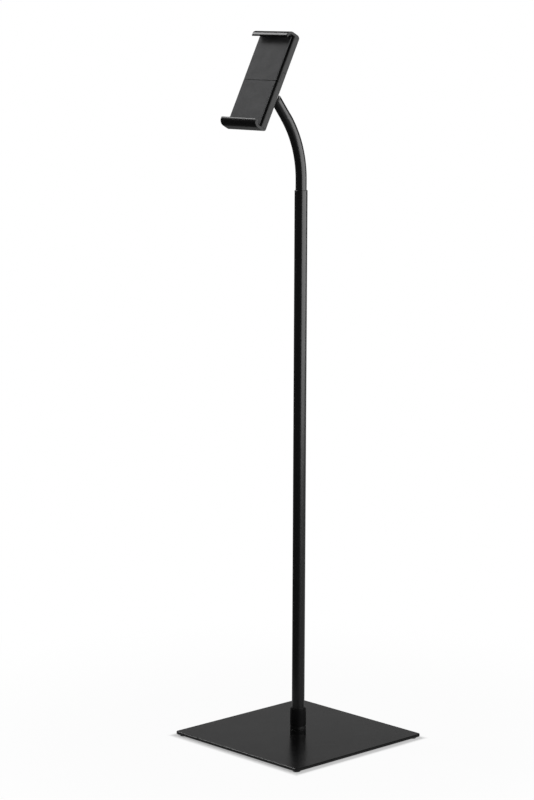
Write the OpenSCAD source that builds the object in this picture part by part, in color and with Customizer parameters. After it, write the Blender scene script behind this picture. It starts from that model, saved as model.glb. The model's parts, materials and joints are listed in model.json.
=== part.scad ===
// Floor stand for a tablet: square base, round pole, bent neck, ball joint and spring clamp.
// Millimetres, +Z up, origin on the floor under the pole. The clamp faces -Y.

/* [Base] */
// Side of the square base plate
base_side = 305; // [240:5:360]
// Thickness of the base plate
base_t = 5; // [4:0.5:8]
// Corner radius of the base plate
base_corner_r = 5; // [2:0.5:20]
// Diameter of a rubber foot
foot_d = 14; // [10:1:24]
// Height of a rubber foot below the plate
foot_h = 3; // [2:0.2:6]
// Distance from the plate's edges to a foot's centre
foot_inset = 10.5; // [9:0.5:40]
// Diameter of the bolt that holds the pole
bolt_d = 10; // [6:1:12]
// Length of the bolt above the plate
bolt_reach = 22; // [12:1:30]

/* [Pole foot] */
// Height of the ring that stands on the plate
ring_h = 7; // [4:0.5:12]
// Outer diameter of the ring and the collar
collar_d = 28; // [26:0.5:36]
// Top of the collar above the plate
collar_top = 45; // [35:1:80]
// Height of the collar's tapered lower band
collar_band = 6; // [3:0.5:10]
// Open line between the ring and the collar
collar_line = 0.7; // [0.3:0.1:1.5]
// Length of the threaded insert in the pole's foot
insert_len = 28; // [20:1:50]

/* [Pole] */
// Outer diameter of the pole
pole_d = 22.2; // [20.6:0.2:24]
// Wall of the pole
pole_wall = 1.5; // [1.2:0.05:1.5]
// Height of the pole's top above the floor
pole_top = 960; // [700:5:1200]
// Radial gap between the neck and the pole's bore
swivel_gap = 0.075; // [0.02:0.005:0.1]

/* [Neck] */
// Wall of the neck tube
neck_wall = 1.5; // [1.0:0.1:2.5]
// Length of neck inside the pole
neck_insert_len = 90; // [50:5:200]
// Straight length of neck above the pole
neck_rise = 17.5; // [5:0.5:60]
// Radius of the bend on the tube's centre line
bend_r = 174; // [60:1:300]
// Angle of the bend from upright
bend_angle = 38; // [15:1:60]
// Straight length of neck after the bend
neck_tip = 37.2; // [25:0.2:80]
// How far the straight end is drawn in, on the radius
tip_step = 0.2; // [0.1:0.05:0.5]
// Length of the stop plug under the neck
stop_len = 14; // [8:1:30]
// Depth of the set screw below the pole's top
set_screw_drop = 16; // [10:1:30]
// Diameter of the set screw
set_screw_d = 5; // [4:0.5:6]
// Length of the set screw
set_screw_len = 3.4; // [3:0.2:8]

/* [Ball joint] */
// Diameter of the ball
ball_d = 20; // [19.4:0.2:20.4]
// Diameter of the ball's stem
stem_d = 8; // [6:0.5:9]
// From the end of the neck tube to the ball's centre
ball_reach = 20; // [19:0.5:30]
// Radial gap between ball and cup
ball_gap = 0.08; // [0.05:0.01:0.15]
// Outer diameter of the split cup
cup_d = 26; // [25:0.2:27]
// From the ball's centre to the cup's rim
cup_over = 4; // [3.6:0.1:4.2]
// Width of a slit in the cup
slit_w = 1.6; // [1:0.1:2.5]
// Number of slits across the cup
slit_count = 2; // [1:1:3]
// Outer diameter of the ring nut
nut_d = 33; // [31:0.5:34]
// Number of grip flutes round the ring nut
nut_flutes = 14; // [8:1:20]
// Radial gap between the ring nut and the cup
nut_gap = 0.1; // [0.05:0.01:0.15]
// Length of the plug in the neck's end
plug_len = 20; // [16:1:40]
// Thickness of the plug's rim and of the stem's hexagon
plug_rim = 2; // [1.5:0.25:3]

/* [Clamp] */
// Lean of the clamp back from upright
clamp_tilt = 27.3; // [10:0.1:45]
// Width of the clamp
clamp_w = 84.4; // [80:0.2:110]
// Height of the closed clamp over both jaws
clamp_h = 174; // [170:1:200]
// Thickness of the clamp's body
body_t = 14.3; // [14:0.1:18]
// Thickness of the rear shells
rear_t = 9.3; // [8.9:0.1:9.6]
// Wall of the moulded shells
shell_wall = 2.2; // [1.8:0.1:2.4]
// Radius along the front edges of the clamp's face
face_r = 4.4; // [2:0.1:4.5]
// Radius along the back edges of the shells and at the corners of the jaws
edge_r = 2.5; // [1:0.1:4]
// Radius of the clamp's back corners in side view
back_r = 8; // [5:0.5:9]
// Width of the seams between shells
seam = 0.5; // [0.3:0.1:1]
// Height of the seam between the front shells
front_seam = 87; // [84:0.5:92]
// Top of the rear housing
housing_top = 105; // [104:0.5:110]
// Height of the ball's axis above the foot of the clamp
ball_level = 83; // [78:0.5:85]
// From the ball's centre to the clamp's back
ball_back = 16; // [15:0.5:20]

/* [Jaws] */
// Reach of the jaws from the clamp's back
jaw_reach = 30.6; // [28:0.2:40]
// Wall of the jaws
jaw_wall = 4.5; // [3.5:0.1:5]
// Outer radius of the jaw's front
jaw_r = 12; // [11:0.5:14]
// How far short of upright the jaw's curl ends
jaw_end_angle = 10; // [0:1:30]
// Thickness of the face pads
pad_t = 1.4; // [1:0.1:2.5]
// Thickness of the grips in the jaws
grip_t = 1.8; // [1:0.1:2.5]
// How far short of upright the lining of the curl ends
grip_end_angle = 35; // [20:1:60]
// How far the upper jaw slides
jaw_travel = 65; // [40:1:66]

/* [Slide] */
// From each side of the clamp to the slide rail
rail_margin = 16.2; // [15:0.2:20]
// Wall of the slide rail
rail_wall = 1.6; // [1.2:0.1:1.8]
// Gap round the rail where it slides
slide_gap = 0.4; // [0.3:0.05:0.5]
// Height of the rail's lower end
rail_low = 14.5; // [14:0.5:17]
// Width of each stop lug beside the rail's lower end
lug_w = 4.5; // [3:0.5:5]
// Height of the stop lugs
lug_h = 6; // [4:0.5:8]
// Diameter of the spring pins
pin_d = 2.4; // [2:0.1:3]
// Height of the lower spring pin
anchor_level = 10; // [9.5:0.25:10.5]
// Distance of each spring from the middle
spring_offset = 12; // [8:0.5:16]
// Outer diameter of the springs
spring_d = 5; // [4:0.1:5.2]
// Wire diameter of the springs
wire_d = 0.8; // [0.6:0.05:0.9]
// Number of turns of each spring
spring_turns = 20; // [10:1:26]
// From the clamp's ends to the outer screws
screw_inset = 17; // [14:0.5:20]
// From the shells' seams to the inner screws
screw_setback = 12; // [10:0.5:14]
// Diameter of a screw's shank
screw_d = 3; // [2.5:0.1:3.2]
// Diameter of a screw's head
screw_head_d = 5.6; // [5:0.1:6]

/* [Hidden] */

$fn = 96;
// Assembly gap between pieces that are fixed together
fit = 0.05;
// Overlap that lets a cut pass cleanly through a face
cut = 1;

satin_black = [0.09, 0.09, 0.10];
zinc = [0.62, 0.63, 0.65];
rubber_black = [0.05, 0.05, 0.055];
plastic_black = [0.12, 0.12, 0.13];
pad_grey = [0.25, 0.25, 0.26];

// Base and pole
plate_top = foot_h + base_t;
pole_bore = pole_d - 2 * pole_wall;
bolt_head_h = 0.8 * base_t;
foot_pos = base_side / 2 - foot_inset;

// Neck, from the pole's axis to the ball
neck_d = pole_bore - 2 * swivel_gap;
neck_bore = neck_d - 2 * neck_wall;
// The drawn-in end of the neck laps into the bend's end
tip_d = neck_d - 2 * tip_step;
tip_bore = neck_bore - 2 * tip_step;
tip_lap = 1;
bend_z = pole_top + neck_rise;
bend_end = [0, -bend_r * (1 - cos(bend_angle)), bend_z + bend_r * sin(bend_angle)];
tip_dir = [0, -sin(bend_angle), cos(bend_angle)];
ball_at = bend_end + (neck_tip + ball_reach) * tip_dir;

// Ball joint, measured back from the clamp along the cup's axis
cup_rim = ball_back + cup_over;
cup_taper = 3.2;
cup_lip = 0.2;
cup_rim_d = ball_d + 2 * cup_lip;
nut_foot = 1;
nut_lip = 0.2;
nut_lip_r = ball_d / 2 - nut_lip;
nut_flare = 2;
nut_flare_r = ball_d / 2 + nut_flare;
nut_over = 2.4;
nut_end = cup_rim + nut_over;
nut_chamfer = 1.2;
flute_r = 2.2;

// Clamp, measured up from its foot and forward from its back
rail_w = clamp_w - 2 * rail_margin;
rail_back = shell_wall + slide_gap;
rail_front = body_t - shell_wall - slide_gap;
rail_mid = (rail_back + rail_front) / 2;
rail_top = clamp_h - jaw_wall - 2 * shell_wall;
rail_slot_w = rail_w + 2 * slide_gap;
guide_foot = rail_low + lug_h + jaw_travel + slide_gap;
pin_drop = 10;
pin_level = rail_top - pin_drop;
rib = 2;
boss_wall = 2;
boss_d = screw_d + 2 * boss_wall;
// The bosses run into the side walls a little, so that they share material with them
boss_sink = 0.3;
boss_x = clamp_w / 2 - shell_wall - boss_d / 2 + boss_sink;
head_t = 1.8;
head_sink = 0.2;
housing_screw_levels = [screw_inset, front_seam - screw_setback];
slider_screw_levels = [housing_top + screw_setback, clamp_h - screw_inset];
jaw_curl = [jaw_reach - jaw_r, jaw_r];
jaw_mid_r = jaw_r - jaw_wall / 2;
jaw_tip = jaw_curl + jaw_mid_r * [cos(jaw_end_angle), -sin(jaw_end_angle)];
jaw_height = jaw_tip[1] + jaw_wall / 2;
pad_margin = 0.3;
pad_foot = jaw_wall + grip_t + pad_margin;
pad_corner_r = 1.5;
grip_margin = 4;

// Plane figures

module tube2d(outer, inner) {
    difference() {
        circle(d = outer);
        circle(d = inner);
    }
}

// Rectangle centred on x, from y = 0 to depth, with the two far corners rounded
module slab2d(width, depth, corner) {
    translate([-width / 2, 0]) square([width, depth - corner]);
    translate([corner - width / 2, 0]) square([width - 2 * corner, depth]);
    for (side = [0, 1])
        mirror([side, 0])
            translate([width / 2 - corner, depth - corner])
                intersection() {
                    circle(r = corner);
                    square(2 * corner);
                }
}

// Rectangle centred on the origin with four round corners
module round_rect2d(width, height, corner) {
    square([width - 2 * corner, height], center = true);
    square([width, height - 2 * corner], center = true);
    for (x = [-1, 1], y = [-1, 1])
        translate([x * (width / 2 - corner), y * (height / 2 - corner)]) circle(r = corner);
}

// Part of a ring between two angles less than half a turn apart
module arc2d(outer_r, inner_r, from, to) {
    reach = 2 * outer_r;
    middle = (from + to) / 2;
    intersection() {
        tube2d(2 * outer_r, 2 * inner_r);
        polygon([
            [0, 0],
            reach * [cos(from), sin(from)],
            reach * [cos(middle), sin(middle)],
            reach * [cos(to), sin(to)]
        ]);
    }
}

// Side view of the whole clamp as a block, rounded at its two back corners
module clamp_side2d() {
    translate([jaw_reach, clamp_h / 2]) rotate(90) slab2d(clamp_h, jaw_reach, back_r);
}

// Side view of the lower jaw: a floor, a curl at the front and a round tip
module jaw2d() {
    intersection() {
        square([jaw_curl[0], jaw_wall]);
        clamp_side2d();
    }
    translate(jaw_curl) arc2d(jaw_r, jaw_r - jaw_wall, -90, -jaw_end_angle);
    translate(jaw_tip) circle(d = jaw_wall);
}

// Side view of the soft grip that lines the jaw's floor and the start of its curl
module grip2d() {
    lined_r = jaw_r - jaw_wall;
    translate([body_t + pad_margin, jaw_wall])
        square([jaw_curl[0] - body_t - pad_margin, grip_t]);
    translate(jaw_curl) arc2d(lined_r, lined_r - grip_t, -90, -grip_end_angle);
}

// Places

// Along the straight end of the neck, starting where the bend ends
module at_neck_tip() {
    translate(bend_end) rotate([bend_angle, 0, 0]) children();
}

// The clamp's own space: x across, -y forward from its back, z up from its foot
module at_clamp() {
    translate(ball_at)
        rotate([-clamp_tilt, 0, 0])
            translate([0, -ball_back, -ball_level])
                children();
}

// Turns the clamp's space over, so that a lower jaw becomes an upper one
module upside_down() {
    translate([0, 0, clamp_h]) mirror([0, 0, 1]) children();
}

// A side view, drawn forward and up, pulled across the clamp
module across(width) {
    rotate([90, 0, 90]) linear_extrude(width, center = true) mirror([1, 0]) children();
}

// A block of the clamp between two depths and two heights
module block(width, back, front, low, high) {
    translate([-width / 2, -front, low]) cube([width, front - back, high - low]);
}

// A round bar of the clamp along its depth
module peg(x, level, back, front, d) {
    translate([x, -front, level]) rotate([-90, 0, 0]) cylinder(d = d, h = front - back);
}

module screw_places(levels) {
    for (x = [-boss_x, boss_x], level = levels)
        translate([x, 0, level]) children();
}

// Base

module base_plate() {
    color(satin_black)
        translate([0, 0, foot_h])
            difference() {
                linear_extrude(base_t) round_rect2d(base_side, base_side, base_corner_r);
                translate([0, 0, -cut]) cylinder(d = bolt_d + 2 * fit, h = base_t + 2 * cut);
                bolt_head(fit);
            }
}

// Countersunk head, its flat side level with the plate's underside
module bolt_head(gap) {
    cylinder(d1 = bolt_d + 2 * (bolt_head_h + gap), d2 = bolt_d + 2 * gap, h = bolt_head_h);
}

module base_feet() {
    draft = 0.5;
    color(rubber_black)
        for (x = [-foot_pos, foot_pos], y = [-foot_pos, foot_pos])
            translate([x, y, 0]) cylinder(d1 = foot_d - 2 * draft, d2 = foot_d, h = foot_h);
}

module base_bolt() {
    socket_d = bolt_d * 0.6;
    socket_h = bolt_d * 0.35;
    color(zinc)
        translate([0, 0, foot_h])
            difference() {
                union() {
                    bolt_head(0);
                    cylinder(d = bolt_d, h = base_t + bolt_reach);
                }
                translate([0, 0, -cut]) cylinder(d = socket_d, h = socket_h + cut, $fn = 6);
            }
}

module base_ring() {
    color(satin_black)
        translate([0, 0, plate_top])
            linear_extrude(ring_h) tube2d(collar_d, pole_d + 2 * fit);
}

module pole_collar() {
    bore_r = pole_d / 2 + fit;
    outer_r = collar_d / 2;
    foot_bevel = 0.8;
    top_bevel = 1.2;
    waist = 0.7;
    waist_r = outer_r - waist;
    low = ring_h + collar_line;
    waist_z = low + collar_band;
    color(satin_black)
        translate([0, 0, plate_top])
            rotate_extrude()
                polygon([
                    [bore_r, low],
                    [outer_r - foot_bevel, low],
                    [outer_r, low + foot_bevel],
                    [waist_r, waist_z],
                    [outer_r, waist_z + foot_bevel],
                    [outer_r, collar_top - top_bevel],
                    [outer_r - top_bevel, collar_top],
                    [bore_r, collar_top]
                ]);
}

module pole_insert() {
    color(zinc)
        translate([0, 0, plate_top])
            linear_extrude(insert_len) tube2d(pole_bore - 2 * fit, bolt_d + 2 * fit);
}

module pole() {
    color(satin_black)
        difference() {
            translate([0, 0, plate_top]) linear_extrude(pole_top - plate_top) tube2d(pole_d, pole_bore);
            set_screw_bar(set_screw_d + 2 * fit, pole_d);
        }
}

// Round bar from the neck's surface outwards at the back of the pole
module set_screw_bar(d, len) {
    translate([0, neck_d / 2 + swivel_gap, pole_top - set_screw_drop])
        rotate([-90, 0, 0])
            cylinder(d = d, h = len);
}

module neck_stop() {
    bore = pole_bore / 3;
    color(plastic_black)
        translate([0, 0, pole_top - neck_insert_len - stop_len - swivel_gap])
            linear_extrude(stop_len) tube2d(pole_bore - 2 * fit, bore);
}

module neck_screw() {
    key = set_screw_d / 2;
    color(zinc)
        difference() {
            set_screw_bar(set_screw_d, set_screw_len);
            translate([0, set_screw_len / 2, 0]) set_screw_bar(key, set_screw_len, $fn = 6);
        }
}

// Neck

module neck_tube() {
    straight = neck_insert_len + neck_rise;
    color(satin_black) {
        translate([0, 0, pole_top - neck_insert_len]) linear_extrude(straight) tube2d(neck_d, neck_bore);
        translate([0, -bend_r, bend_z])
            rotate([90, 0, 90])
                rotate_extrude(angle = bend_angle)
                    translate([bend_r, 0])
                        tube2d(neck_d, neck_bore);
        at_neck_tip()
            translate([0, 0, -tip_lap])
                linear_extrude(neck_tip + tip_lap)
                    tube2d(tip_d, tip_bore);
    }
}

module neck_plug() {
    color(plastic_black)
        at_neck_tip()
            difference() {
                union() {
                    translate([0, 0, neck_tip - plug_len]) cylinder(d = tip_bore - 2 * fit, h = plug_len);
                    translate([0, 0, neck_tip]) cylinder(d = tip_d, h = plug_rim);
                }
                translate([0, 0, neck_tip - plug_len - cut])
                    cylinder(d = stem_d + 2 * fit, h = plug_len + plug_rim + 2 * cut);
            }
}

module ball_stud() {
    stem_low = neck_tip - plug_len + cut;
    ball_z = neck_tip + ball_reach;
    hex_d = 1.6 * stem_d;
    color(zinc)
        at_neck_tip() {
            translate([0, 0, ball_z]) sphere(d = ball_d);
            translate([0, 0, stem_low]) cylinder(d = stem_d, h = ball_z - stem_low);
            translate([0, 0, neck_tip + plug_rim + fit]) cylinder(d = hex_d, h = plug_rim, $fn = 6);
        }
}

module lock_nut() {
    bore_r = cup_d / 2 + nut_gap;
    outer_r = nut_d / 2;
    rim_r = cup_rim_d / 2 + 2 * nut_gap;
    color(plastic_black)
        at_clamp()
            translate([0, 0, ball_level])
                rotate([-90, 0, 0])
                    difference() {
                        rotate_extrude()
                            polygon([
                                [bore_r, nut_foot],
                                [outer_r - nut_chamfer, nut_foot],
                                [outer_r, nut_foot + nut_chamfer],
                                [outer_r, nut_end - nut_chamfer],
                                [outer_r - nut_chamfer, nut_end],
                                [nut_flare_r, nut_end],
                                [nut_lip_r, cup_rim + 3 * nut_gap],
                                [rim_r, cup_rim + nut_gap],
                                [bore_r, cup_rim - cup_taper]
                            ]);
                        for (i = [0 : nut_flutes - 1])
                            rotate([0, 0, i * 360 / nut_flutes])
                                translate([outer_r + flute_r / 2, 0, 0])
                                    cylinder(r = flute_r, h = nut_end + cut, $fn = 32);
                    }
}

// Fixed half of the clamp

module rear_housing() {
    low = jaw_wall + seam;
    color(plastic_black)
        at_clamp()
            difference() {
                union() {
                    rear_slab(low, housing_top);
                    cup_body();
                }
                difference() {
                    block(clamp_w - 2 * shell_wall, shell_wall, rear_t + cut, low + shell_wall, guide_foot);
                    screw_places(housing_screw_levels) peg(0, 0, 0, rear_t, boss_d);
                    anchor_posts();
                }
                block(rail_slot_w, shell_wall, rear_t + cut, guide_foot - cut, housing_top + cut);
                screw_places(housing_screw_levels) screw_hole();
                peg_across(anchor_level, pin_d + 2 * fit);
                cup_hollow();
            }
}

// Solid form of a rear shell between two heights
module rear_slab(low, high) {
    intersection() {
        translate([0, -rear_t, low]) linear_extrude(high - low) slab2d(clamp_w, rear_t, edge_r);
        across(clamp_w + cut) clamp_side2d();
    }
}

// Two posts on the housing's back wall that carry the lower spring pin
module anchor_posts() {
    for (side = [-1, 1])
        translate([side * anchor_span() / 2, 0, 0])
            block(2 * rib, 0, rear_t - slide_gap, 0, anchor_level + pin_d);
}

function anchor_span() = rail_w - 4 * rail_wall;

// Round bar across the clamp at the middle of the rail's depth
module peg_across(level, d) {
    bar = anchor_span() + 2 * rib;
    translate([-bar / 2, -rail_mid, level]) rotate([0, 90, 0]) cylinder(d = d, h = bar);
}

// Through hole with a counterbore for the head, open at the clamp's back
module screw_hole() {
    peg(0, 0, -cut, rear_t + cut, screw_d + 2 * fit);
    peg(0, 0, -cut, head_t + fit, screw_head_d + 2 * fit);
}

// Split cup that stands on the housing's back
module cup_body() {
    translate([0, -shell_wall / 2, ball_level])
        rotate([-90, 0, 0]) {
            cylinder(d = cup_d, h = shell_wall / 2 + cup_rim - cup_taper);
            translate([0, 0, shell_wall / 2 + cup_rim - cup_taper])
                cylinder(d1 = cup_d, d2 = cup_rim_d, h = cup_taper);
        }
}

module cup_hollow() {
    slit_foot = ball_back - ball_d / 2 + rib;
    translate([0, ball_back, ball_level]) sphere(d = ball_d + 2 * ball_gap);
    for (i = [0 : slit_count - 1])
        translate([0, slit_foot, ball_level])
            rotate([0, 45 + i * 180 / slit_count, 0])
                translate([-cup_d, 0, -slit_w / 2])
                    cube([2 * cup_d, ball_d, slit_w]);
}

// Front shell: a plate with a jaw at its foot, hollowed from behind
module front_shell(top, open_top) {
    depth = body_t - rear_t;
    low = jaw_wall + shell_wall;
    screw_levels = open_top ? housing_screw_levels : [for (z = slider_screw_levels) clamp_h - z];
    channel_low = open_top ? low : clamp_h - rail_top - slide_gap;
    union() {
        difference() {
            translate([0, 0, jaw_wall / 2])
                linear_extrude(top - jaw_wall / 2)
                    mirror([0, 1])
                        translate([0, rear_t])
                            slab2d(clamp_w, depth, min(face_r, depth - seam));
            block(rail_slot_w, rear_t - cut, body_t - shell_wall, channel_low, top + cut);
            difference() {
                side_pockets(rear_t - cut, body_t - shell_wall, low, top - shell_wall);
                screw_places(screw_levels) peg(0, 0, rear_t, body_t, boss_d);
            }
            screw_places(screw_levels) peg(0, 0, rear_t - cut, body_t - shell_wall, screw_d + 2 * fit);
        }
        intersection() {
            across(clamp_w) jaw2d();
            linear_extrude(jaw_height + cut) jaw_plan2d();
        }
    }
}

// Two hollows between the ribs beside the rail and the clamp's side walls
module side_pockets(back, front, low, high) {
    inner = rail_slot_w / 2 + rib;
    outer = clamp_w / 2 - shell_wall;
    for (side = [-1, 1])
        translate([side * (inner + outer) / 2, 0, 0]) block(outer - inner, back, front, low, high);
}

// Plan of a jaw, rounded at all four corners
module jaw_plan2d() {
    intersection() {
        translate([0, -jaw_reach]) slab2d(clamp_w, jaw_reach, edge_r);
        mirror([0, 1]) slab2d(clamp_w, jaw_reach, edge_r);
    }
}

module lower_jaw() {
    color(plastic_black) at_clamp() front_shell(front_seam - seam / 2, true);
}

// Flat pad on the face of a front shell
module face_pad(low, high) {
    pad_w = clamp_w - 2 * face_r;
    translate([0, -body_t, (low + high) / 2])
        rotate([90, 0, 0])
            linear_extrude(pad_t)
                round_rect2d(pad_w, high - low, pad_corner_r);
}

module lower_pad() {
    color(pad_grey) at_clamp() face_pad(pad_foot, front_seam - seam / 2);
}

module jaw_grip() {
    across(clamp_w - 2 * grip_margin) grip2d();
}

module lower_grip() {
    color(rubber_black) at_clamp() jaw_grip();
}

// Pan-head screw driven from the back, with a cross slot
module shell_screw() {
    slot_w = screw_d / 3;
    slot_len = screw_head_d * 0.6;
    difference() {
        union() {
            peg(0, 0, head_sink, head_t, screw_head_d);
            peg(0, 0, head_t - cut, body_t - shell_wall - fit, screw_d);
        }
        for (turn = [0, 90])
            rotate([0, turn, 0]) block(slot_len, -cut, head_t / 2, -slot_w / 2, slot_w / 2);
    }
}

module housing_screws() {
    color(zinc) at_clamp() screw_places(housing_screw_levels) shell_screw();
}

module spring_anchor() {
    color(zinc) at_clamp() peg_across(anchor_level, pin_d);
}

// Sliding half of the clamp

module upper_jaw() {
    relief = housing_top + seam;
    color(plastic_black)
        at_clamp()
            difference() {
                upside_down() front_shell(clamp_h - front_seam - seam / 2, false);
                block(clamp_w + cut, rear_t - cut, rear_t + slide_gap, front_seam - cut, relief);
            }
}

module slider_cover() {
    low = housing_top + seam;
    high = clamp_h - jaw_wall - seam / 2;
    color(plastic_black)
        at_clamp()
            difference() {
                rear_slab(low, high);
                block(rail_w + 2 * fit, rail_back - fit, rear_t + cut, low - cut, rail_top + fit);
                difference() {
                    side_pockets(shell_wall, rear_t + cut, low + shell_wall, high - shell_wall);
                    screw_places(slider_screw_levels) peg(0, 0, 0, rear_t, boss_d);
                }
                screw_places(slider_screw_levels) screw_hole();
            }
}

module slide_rail() {
    color(plastic_black)
        at_clamp()
            difference() {
                union() {
                    block(rail_w, rail_back, rail_front, rail_low, rail_top);
                    block(rail_w + 2 * lug_w, rail_back, rear_t - slide_gap, rail_low, rail_low + lug_h);
                }
                block(
                    rail_w - 2 * rail_wall, rail_back + rail_wall, rail_front - rail_wall,
                    rail_low - cut, rail_top - rail_wall
                );
                rail_pin_bar(pin_d + 2 * fit);
            }
}

// Round bar through both sides of the rail near its top
module rail_pin_bar(d) {
    translate([-rail_w / 2, -rail_mid, pin_level]) rotate([0, 90, 0]) cylinder(d = d, h = rail_w);
}

module spring_pin() {
    color(zinc) at_clamp() rail_pin_bar(pin_d);
}

module upper_pad() {
    color(pad_grey) at_clamp() face_pad(front_seam + seam / 2, clamp_h - pad_foot);
}

module upper_grip() {
    color(rubber_black) at_clamp() upside_down() jaw_grip();
}

module slider_screws() {
    color(zinc) at_clamp() screw_places(slider_screw_levels) shell_screw();
}

// Draw springs: an open coil with a hook over a pin at each end

rings_per_turn = 8;
wire_sides = 6;
coil_r = (spring_d - wire_d) / 2;
hook_gap = 0.35;
hook_r = pin_d / 2 + wire_d / 2 + hook_gap;
hook_sweep = 250;
hook_steps = 10;
coil_low = anchor_level + 2 * hook_r + wire_d;
coil_high = pin_level - 2 * hook_r - wire_d;
coil_rings = spring_turns * rings_per_turn;

// Points of the wire's centre line, from the lower hook's end to the upper hook's end
spring_path = concat(
    [for (i = [0 : hook_steps])
        let (a = 90 - hook_sweep * (1 - i / hook_steps))
            [0, hook_r * sin(a - 90), anchor_level + hook_r * cos(a - 90)]],
    [for (i = [0 : coil_rings])
        let (a = 90 + 360 * i / rings_per_turn)
            [coil_r * cos(a), coil_r * sin(a), coil_low + (coil_high - coil_low) * i / coil_rings]],
    [for (i = [0 : hook_steps])
        let (a = hook_sweep * i / hook_steps)
            [0, -hook_r * sin(a), pin_level - hook_r * cos(a)]]
);

function unit(v) = v / norm(v);

spring_last = len(spring_path) - 1;
spring_tangents = [
    for (i = [0 : spring_last])
        unit(spring_path[min(i + 1, spring_last)] - spring_path[max(i - 1, 0)])
];

// A normal carried along the wire without twist
spring_normals = [
    for (i = 0, n = [1, 0, 0];
         i <= spring_last;
         i = i + 1, n = i > spring_last ? n : unit(n - (n * spring_tangents[i]) * spring_tangents[i]))
        n
];

spring_points = [
    for (i = [0 : spring_last])
        let (n = spring_normals[i], b = cross(spring_tangents[i], n))
            for (k = [0 : wire_sides - 1])
                let (a = 360 * k / wire_sides)
                    spring_path[i] + wire_d / 2 * (cos(a) * n + sin(a) * b)
];

spring_faces = concat(
    [for (k = [1 : wire_sides - 2]) [0, k, k + 1]],
    [for (i = [0 : spring_last - 1], k = [0 : wire_sides - 1])
        let (p = i * wire_sides + k, q = i * wire_sides + (k + 1) % wire_sides)
            each [[p, p + wire_sides, q], [q, p + wire_sides, q + wire_sides]]],
    [for (k = [1 : wire_sides - 2])
        let (p = spring_last * wire_sides)
            [p, p + k + 1, p + k]]
);

// Least distance between wire surfaces half a turn or more apart along the wire
spring_gap = min([
    for (i = [0 : spring_last - rings_per_turn / 2], j = [i + rings_per_turn / 2 : spring_last])
        norm(spring_path[i] - spring_path[j])
]) - wire_d;
echo(least_gap_in_spring = spring_gap);

module jaw_springs() {
    color(zinc)
        at_clamp()
            for (x = [-spring_offset, spring_offset])
                translate([x, -rail_mid, 0])
                    polyhedron(points = spring_points, faces = spring_faces, convexity = 10);
}

base_plate();
base_feet();
base_bolt();
base_ring();
pole_collar();
pole_insert();
pole();
neck_stop();
neck_screw();
neck_tube();
neck_plug();
ball_stud();
lock_nut();
rear_housing();
lower_jaw();
lower_pad();
lower_grip();
housing_screws();
spring_anchor();
jaw_springs();
upper_jaw();
slider_cover();
slide_rail();
upper_pad();
upper_grip();
slider_screws();
spring_pin();
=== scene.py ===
"""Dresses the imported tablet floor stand: soft-edged shapes, finishes, studio and camera."""

import json
import math

import bmesh
import bpy
from mathutils import Matrix, Vector

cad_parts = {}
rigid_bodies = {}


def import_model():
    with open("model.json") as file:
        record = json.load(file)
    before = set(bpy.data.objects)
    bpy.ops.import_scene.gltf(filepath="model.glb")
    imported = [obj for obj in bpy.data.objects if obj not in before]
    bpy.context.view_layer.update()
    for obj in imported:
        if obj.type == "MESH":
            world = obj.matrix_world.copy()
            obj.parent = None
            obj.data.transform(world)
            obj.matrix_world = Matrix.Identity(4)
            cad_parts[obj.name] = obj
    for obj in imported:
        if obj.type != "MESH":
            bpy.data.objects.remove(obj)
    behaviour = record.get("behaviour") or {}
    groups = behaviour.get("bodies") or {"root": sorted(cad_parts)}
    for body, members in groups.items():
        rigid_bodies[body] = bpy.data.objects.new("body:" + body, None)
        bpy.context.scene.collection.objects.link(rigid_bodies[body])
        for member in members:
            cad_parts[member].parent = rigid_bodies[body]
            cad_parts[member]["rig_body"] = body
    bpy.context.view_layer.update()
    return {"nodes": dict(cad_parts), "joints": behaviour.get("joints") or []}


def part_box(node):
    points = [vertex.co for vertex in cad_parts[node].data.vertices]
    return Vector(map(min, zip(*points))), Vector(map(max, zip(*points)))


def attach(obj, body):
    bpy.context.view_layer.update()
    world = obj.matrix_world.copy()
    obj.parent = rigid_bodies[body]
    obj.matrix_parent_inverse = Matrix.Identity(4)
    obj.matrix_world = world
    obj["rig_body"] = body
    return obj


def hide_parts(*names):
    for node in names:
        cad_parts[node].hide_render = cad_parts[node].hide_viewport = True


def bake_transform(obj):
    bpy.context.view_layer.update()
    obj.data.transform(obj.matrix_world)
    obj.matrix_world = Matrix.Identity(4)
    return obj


bl_info = {
    "name": "Tablet Floor Stand",
    "version": (1, 0, 0),
    "blender": (4, 5, 0),
    "location": "3D View > Sidebar > Stand",
    "description": "Builds the visible pieces, finishes and studio of a tablet floor stand",
    "category": "Object",
}

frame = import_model()

MM = 0.001

# Degrees between two faces from which their edge stays sharp in shading
SHARP_ANGLE = 30
TURNED_SHARP_ANGLE = 40
# Degrees from which an edge is rounded over, and up to which two faces count as one flat
ROUNDED_ANGLE = 35
FLAT_ANGLE = 0.5

# Radius of a screw's head
SCREW_HEAD_R = 2.8 * MM

# Points closer than this are one point
MERGE_DISTANCE = 0.0001 * MM
CAD_MERGE_DISTANCE = 0.001 * MM

# Layout of the stand, read from the loaded frame
JOINTS = {joint["name"]: joint for joint in frame["joints"]}
BALL = Vector(JOINTS["ball_tilt"]["pos_m"])
NECK_AXIS = Vector(JOINTS["ball_turn"]["axis"])
CLAMP_FRONT = Vector(JOINTS["clamp_spin"]["axis"])
CLAMP_UP = Vector(JOINTS["jaw_slide"]["axis"])
ACROSS = Vector((1, 0, 0))


def span(node, axis):
    """Lowest and highest reach of a CAD node along an axis, measured from the frame's origin."""
    reach = [vertex.co.dot(axis) for vertex in frame["nodes"][node].data.vertices]
    return min(reach), max(reach)


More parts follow.
